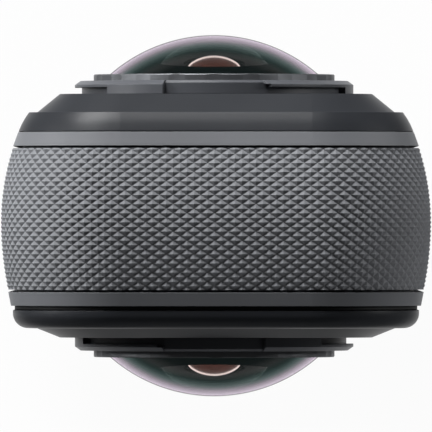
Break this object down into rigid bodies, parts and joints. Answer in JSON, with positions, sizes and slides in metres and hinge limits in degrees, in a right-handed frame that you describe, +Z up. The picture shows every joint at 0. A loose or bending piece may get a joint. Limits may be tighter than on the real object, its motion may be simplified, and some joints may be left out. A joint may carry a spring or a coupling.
{
  "type": "360 degree camera",
  "caption": "Stick-shaped 360 degree camera with a dome lens on each face, a screen, a textured grip band, a side battery and a tripod bush in its foot.",
  "frame": {"origin": "middle of the foot, on the plane that the camera stands on", "axes": "+Z up along the stick, -Y towards the screen side, +Y towards the rear, +X to the right for someone who looks at the screen"},
  "size_m": [0.046, 0.0388, 0.1245],
  "materials": {
    "trim_plastic": "fine spark texture",
    "grip_rubber": "raised pyramids",
    "cover_plastic": "fine spark texture",
    "seal_rubber": "smooth",
    "screen_glass": "polished, black behind",
    "display": "polished",
    "flange_plastic": "moulded",
    "ring_metal": "satin anodised",
    "lens_glass": "coated",
    "barrel_plastic": "flat black",
    "sensor": "cover glass",
    "circuit_board": "solder mask",
    "chip_plastic": "moulded",
    "ribbon_film": "polyimide film",
    "thermal_rubber": "soft pad",
    "cast_aluminium": "cast",
    "brass": "turned",
    "steel": "plated",
    "battery_case": "moulded",
    "button_plastic": "satin",
    "light_pipe": "clear"
  },
  "bodies": {
    "housing": {"mid_frame": "trim_plastic", "grip_band": "grip_rubber", "front_cover": "cover_plastic", "rear_cover": "cover_plastic", "base_cap": "cover_plastic", "door_bezel": "cover_plastic", "front_seal": "seal_rubber", "rear_seal": "seal_rubber", "front_lens_seal": "seal_rubber", "rear_lens_seal": "seal_rubber", "screen_glass": "screen_glass", "display_panel": "display", "front_bayonet_flange": "flange_plastic", "rear_bayonet_flange": "flange_plastic", "front_inner_lens": "lens_glass", "rear_inner_lens": "lens_glass", "relay_lenses": "lens_glass", "front_lens_barrel": "barrel_plastic", "rear_lens_barrel": "barrel_plastic", "front_image_sensor": "sensor", "rear_image_sensor": "sensor", "front_sensor_board": "circuit_board", "rear_sensor_board": "circuit_board", "main_board": "circuit_board", "usb_board": "circuit_board", "front_button_board": "circuit_board", "side_button_board": "circuit_board", "processor": "chip_plastic", "microphones": "chip_plastic", "speaker": "chip_plastic", "click_switches": "chip_plastic", "memory_card": "chip_plastic", "front_sensor_ribbon": "ribbon_film", "rear_sensor_ribbon": "ribbon_film", "thermal_pad": "thermal_rubber", "optical_core": "cast_aluminium", "heat_spreader": "cast_aluminium", "chassis_plate": "cast_aluminium", "tripod_bush": "brass", "battery_contacts": "brass", "core_screws": "steel", "board_screws": "steel", "base_screws": "steel", "tripod_plate": "steel", "hinge_pin": "steel", "usb_socket": "steel", "card_shell": "steel", "status_lights": "light_pipe"},
    "battery": {"battery_pack": "battery_case", "battery_panel": "grip_rubber"},
    "battery_latch": {"battery_latch": "button_plastic"},
    "usb_door": {"usb_door": "cover_plastic"},
    "shutter_button": {"shutter_button": "button_plastic"},
    "mode_button": {"mode_button": "button_plastic"},
    "power_button": {"power_button": "button_plastic"},
    "quick_button": {"quick_button": "button_plastic"},
    "front_lens_cap": {"front_lens_ring": "ring_metal", "front_lens_dome": "lens_glass"},
    "rear_lens_cap": {"rear_lens_ring": "ring_metal", "rear_lens_dome": "lens_glass"}
  },
  "joints": [
    {"name": "battery_slide", "type": "slide", "parent": "housing", "child": "battery", "axis": [-1, 0, 0], "range_m": [0, 0.036]},
    {"name": "battery_latch_slide", "type": "slide", "parent": "battery", "child": "battery_latch", "axis": [0, 0, -1], "range_m": [0, 0.003], "stiffness_N_per_m": 250},
    {"name": "usb_door_hinge", "type": "hinge", "parent": "housing", "child": "usb_door", "pos_m": [-0.0221, -0.00365, 0.0785], "axis": [0, 0, 1], "range_deg": [0, 90]},
    {"name": "shutter_button_press", "type": "slide", "parent": "housing", "child": "shutter_button", "axis": [0, 1, 0], "range_m": [0, 0.0004], "stiffness_N_per_m": 500},
    {"name": "mode_button_press", "type": "slide", "parent": "housing", "child": "mode_button", "axis": [0, 1, 0], "range_m": [0, 0.0004], "stiffness_N_per_m": 500},
    {"name": "power_button_press", "type": "slide", "parent": "housing", "child": "power_button", "axis": [-1, 0, 0], "range_m": [0, 0.0004], "stiffness_N_per_m": 500},
    {"name": "quick_button_press", "type": "slide", "parent": "housing", "child": "quick_button", "axis": [-1, 0, 0], "range_m": [0, 0.0004], "stiffness_N_per_m": 500},
    {"name": "front_lens_turn", "type": "hinge", "parent": "housing", "child": "front_lens_cap", "pos_m": [-0.0002, 0, 0.1025], "axis": [0, -1, 0], "range_deg": [0, 30]},
    {"name": "rear_lens_turn", "type": "hinge", "parent": "housing", "child": "rear_lens_cap", "pos_m": [-0.0002, 0, 0.1025], "axis": [0, 1, 0], "range_deg": [0, 30]}
  ]
}
